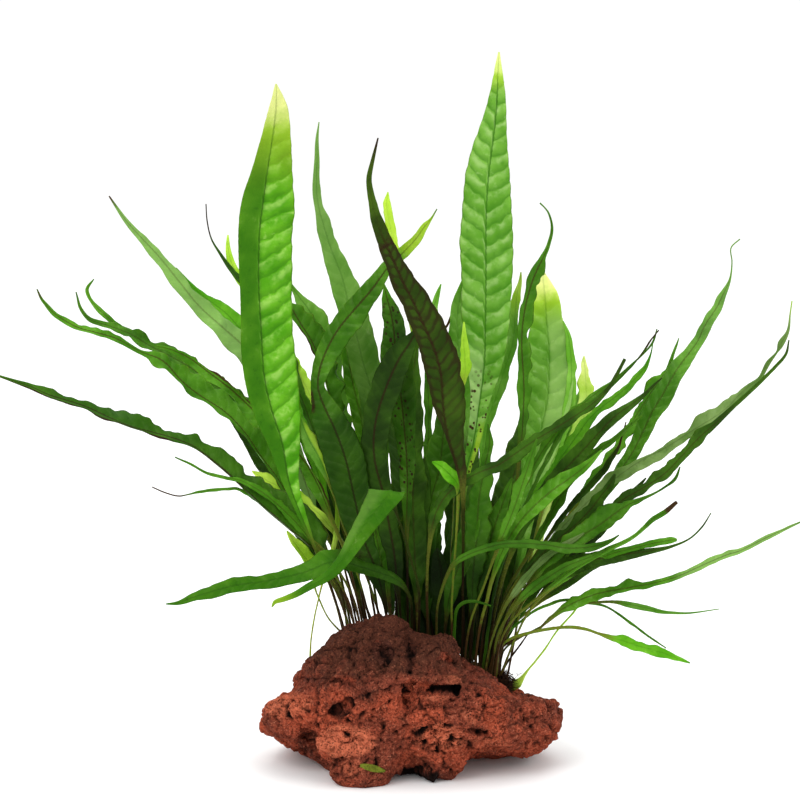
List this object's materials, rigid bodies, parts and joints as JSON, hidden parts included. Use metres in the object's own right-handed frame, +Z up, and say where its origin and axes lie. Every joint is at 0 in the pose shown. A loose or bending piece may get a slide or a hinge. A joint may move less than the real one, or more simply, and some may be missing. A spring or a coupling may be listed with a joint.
{
  "type": "java fern on lava rock",
  "caption": "Clump of long narrow java fern fronds, veined, ruffled and some browned, rising from a creeping rhizome on a pitted red lava rock that rests flat.",
  "frame": {"origin": "on the flat underside that the stone rests on, below the middle of the stone", "axes": "+Z up, +X to the right as the picture sees the clump, the front of the clump faces -Y"},
  "size_m": [0.2896, 0.1397, 0.2606],
  "materials": {
    "lava_stone": "matte",
    "rhizome_brown": "matte",
    "leaf_bright": "satin",
    "leaf_green": "satin",
    "leaf_dark": "satin",
    "leaf_olive_brown": "satin",
    "leaf_lime": "satin"
  },
  "bodies": {
    "root": {"lava_rock": "lava_stone", "rhizome": "rhizome_brown", "leaf_scrap": "leaf_bright", "frond_tall_right": "leaf_bright", "frond_tall_left": "leaf_bright", "frond_brown_front": "leaf_olive_brown", "frond_thin_tall": "leaf_green", "frond_lime_small": "leaf_lime", "frond_kinked": "leaf_green", "frond_yellow_edge": "leaf_bright", "frond_spotted": "leaf_dark", "frond_behind_tall": "leaf_green", "frond_hooked": "leaf_dark", "frond_thin_lime": "leaf_green", "frond_yellow_tip": "leaf_bright", "frond_pale_tip": "leaf_lime", "frond_centre_upright": "leaf_dark", "frond_centre_bright": "leaf_green", "frond_centre_stub": "leaf_green", "frond_centre_dark": "leaf_dark", "frond_centre_left": "leaf_green", "frond_back_middle": "leaf_dark", "frond_back_inner_left": "leaf_dark", "frond_back_inner_right": "leaf_dark", "frond_back_left": "leaf_dark", "frond_left_high": "leaf_green", "frond_left_high_back": "leaf_bright", "frond_left_whisker": "leaf_dark", "frond_left_inner_back": "leaf_green", "frond_left_ruffled": "leaf_green", "frond_left_long": "leaf_green", "frond_left_long_back": "leaf_dark", "frond_left_hook_tip": "leaf_green", "frond_left_thin_dark": "leaf_dark", "frond_left_reaching": "leaf_green", "frond_left_lime_low": "leaf_lime", "frond_left_low": "leaf_bright", "frond_front_bent": "leaf_bright", "frond_left_back_low": "leaf_dark", "frond_right_dark_blunt": "leaf_dark", "frond_right_whisker": "leaf_green", "frond_right_light": "leaf_bright", "frond_right_dark_broad": "leaf_dark", "frond_right_big": "leaf_bright", "frond_right_slender": "leaf_green", "frond_right_far_high": "leaf_green", "frond_right_far_low": "leaf_dark", "frond_right_brown_patch": "leaf_green", "frond_right_olive": "leaf_olive_brown", "frond_right_brown_tip": "leaf_green", "frond_right_drooping": "leaf_dark", "frond_right_long_low": "leaf_bright", "frond_right_low_thin": "leaf_green", "frond_right_low_arch": "leaf_bright", "frond_front_arch": "leaf_bright", "frond_front_inner": "leaf_green", "frond_front_pale_stalk": "leaf_dark", "frond_front_low_right": "leaf_bright", "frond_back_right_high": "leaf_green", "frond_back_right_low": "leaf_dark"}
  },
  "joints": []
}
